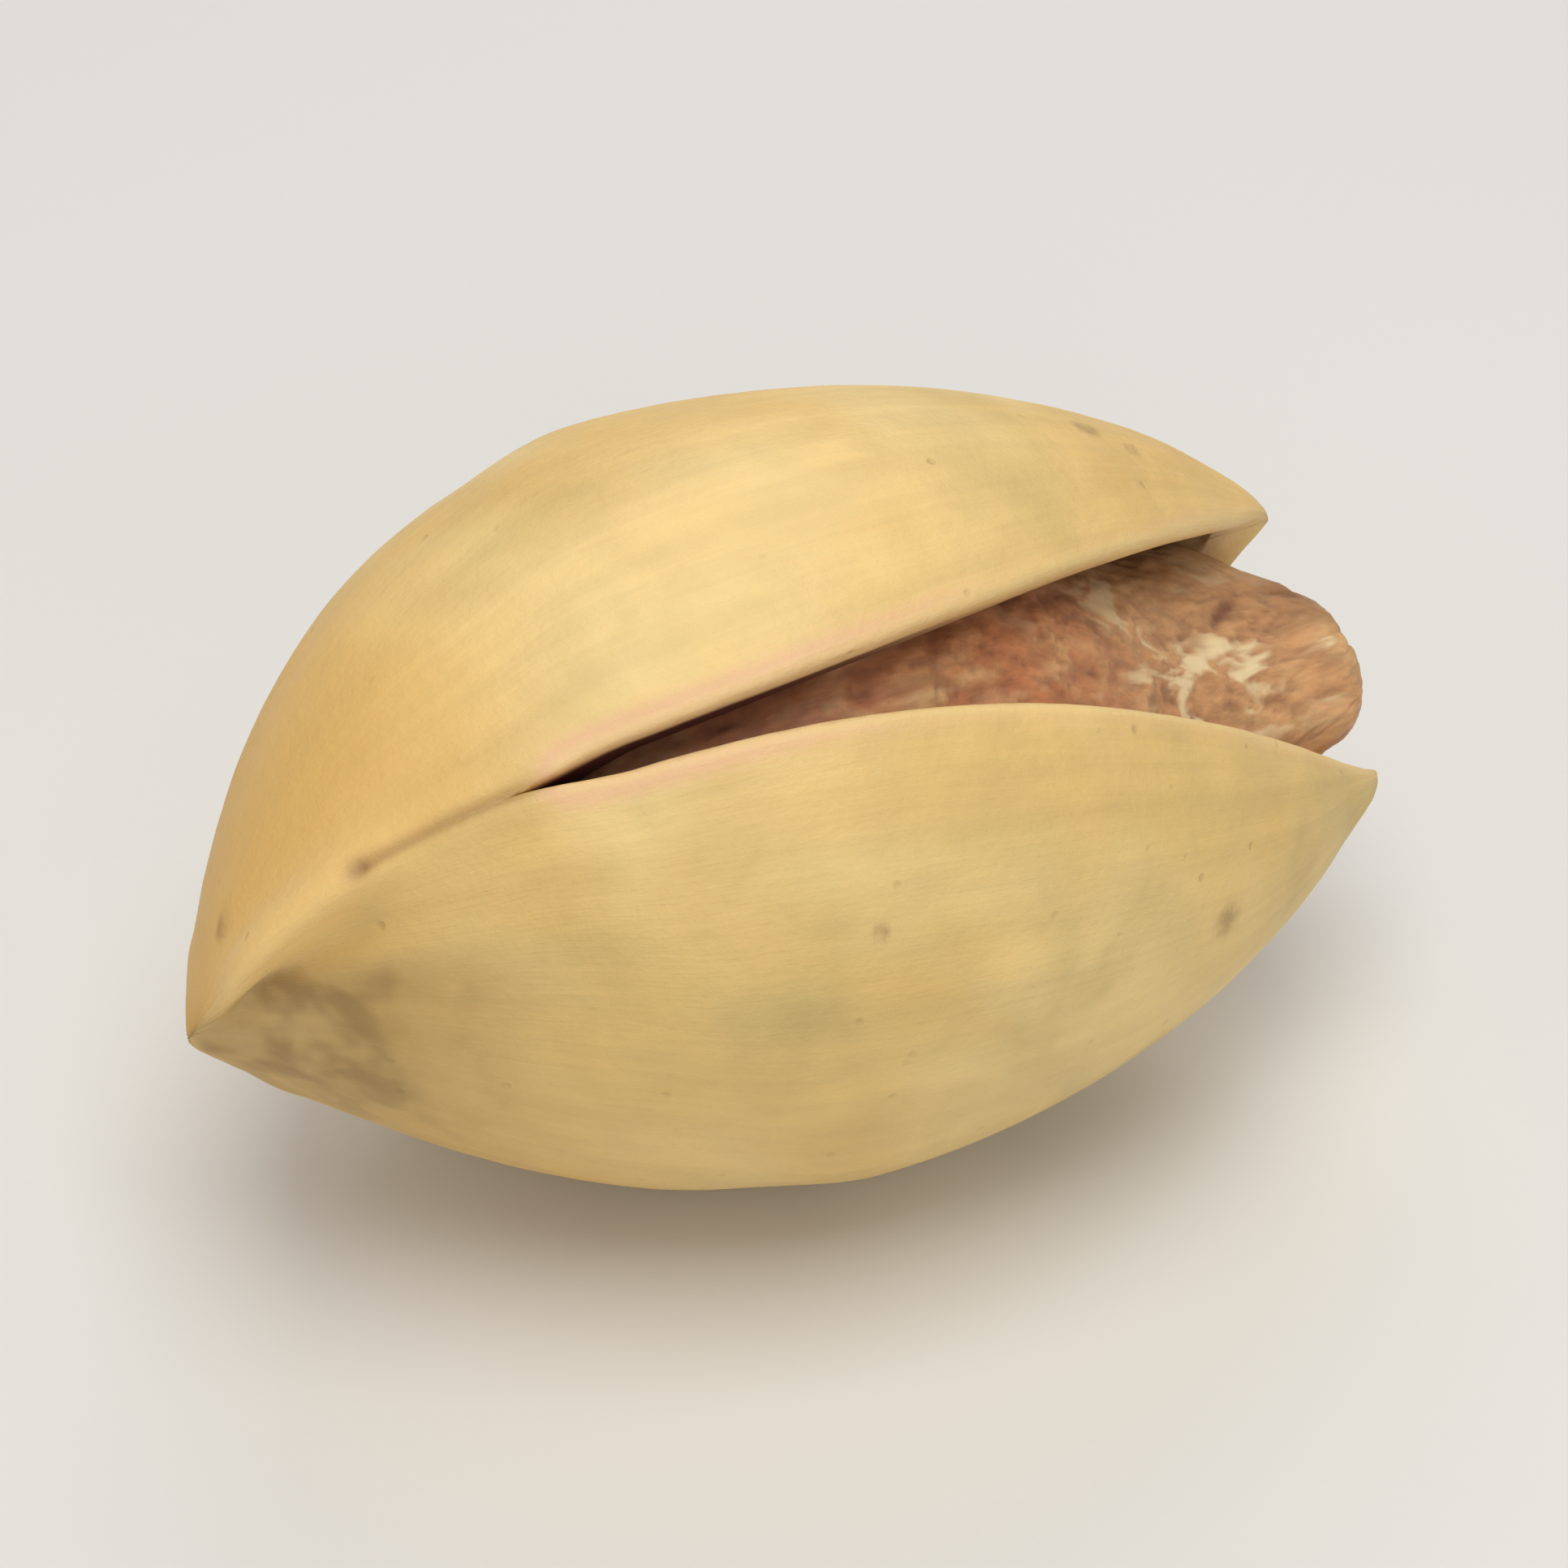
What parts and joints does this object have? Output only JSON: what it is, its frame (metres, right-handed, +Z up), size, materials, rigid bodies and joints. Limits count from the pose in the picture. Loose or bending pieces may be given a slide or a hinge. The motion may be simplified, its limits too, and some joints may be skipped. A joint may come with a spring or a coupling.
{
  "type": "pistachio in shell",
  "caption": "Dry hard-shelled nut resting on its flank, the shell split open along one seam and round the tip to show the kernel in its papery skin.",
  "frame": {"origin": "middle of the flat the nut rests on, on the underside of the lower valve", "axes": "+X from the base to the split tip, +Y towards the back where the shell is grown together, +Z up"},
  "size_m": [0.0213, 0.0133, 0.0128],
  "materials": {
    "shell_hull": "smooth dry hull, faint satin, soft ribs along its length, cream to yellow-beige with grey-green patches",
    "kernel_skin": "thin wrinkled papery skin, brown to pinkish tan with paler streaks"
  },
  "bodies": {
    "root": {"shell": "shell_hull", "kernel": "kernel_skin"}
  },
  "joints": []
}
